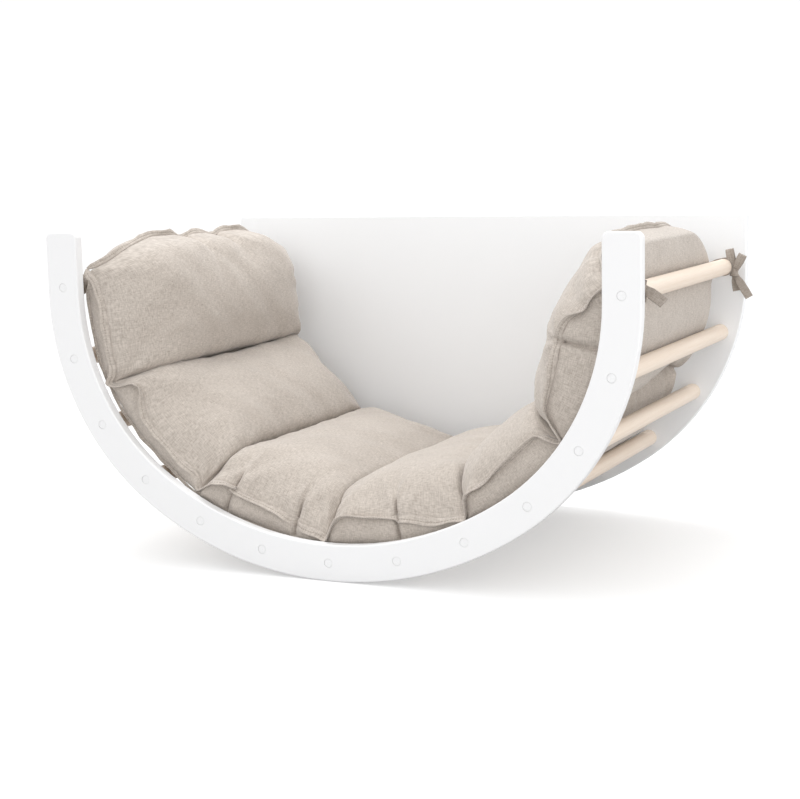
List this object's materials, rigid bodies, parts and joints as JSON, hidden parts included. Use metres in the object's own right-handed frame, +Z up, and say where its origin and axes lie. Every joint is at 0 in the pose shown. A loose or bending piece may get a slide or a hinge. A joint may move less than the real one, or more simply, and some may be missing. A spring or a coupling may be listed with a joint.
{
  "type": "rocking arch cradle",
  "caption": "Rocking cradle made of an arched wooden panel and a closed board joined by round rungs, with a quilted mattress tied inside.",
  "frame": {"origin": "on the floor under the middle of the arch, midway between the two side panels", "axes": "+X along the arch, +Y from the open side panel towards the closed board, +Z up"},
  "size_m": [1.0518, 0.646, 0.538],
  "materials": {
    "panel_paint": "satin",
    "rung_wood": "satin",
    "screw_steel": "satin",
    "cap_plastic": "matte",
    "mattress_linen": "matte",
    "tie_linen": "matte"
  },
  "bodies": {
    "root": {"front_arch": "panel_paint", "rear_board": "panel_paint", "rung_01": "rung_wood", "rung_02": "rung_wood", "rung_03": "rung_wood", "rung_04": "rung_wood", "rung_05": "rung_wood", "rung_06": "rung_wood", "rung_07": "rung_wood", "rung_08": "rung_wood", "rung_09": "rung_wood", "rung_10": "rung_wood", "rung_11": "rung_wood", "rung_12": "rung_wood", "rung_13": "rung_wood", "front_screws": "screw_steel", "rear_screws": "screw_steel", "front_screw_caps": "cap_plastic", "rear_screw_caps": "cap_plastic", "cushion_left_top": "mattress_linen", "cushion_left_lower": "mattress_linen", "cushion_seat_left": "mattress_linen", "cushion_seat_right": "mattress_linen", "cushion_right_lower": "mattress_linen", "cushion_right_top": "mattress_linen", "tie_left_front": "tie_linen", "tie_left_rear": "tie_linen", "tie_right_front": "tie_linen", "tie_right_rear": "tie_linen"}
  },
  "joints": []
}
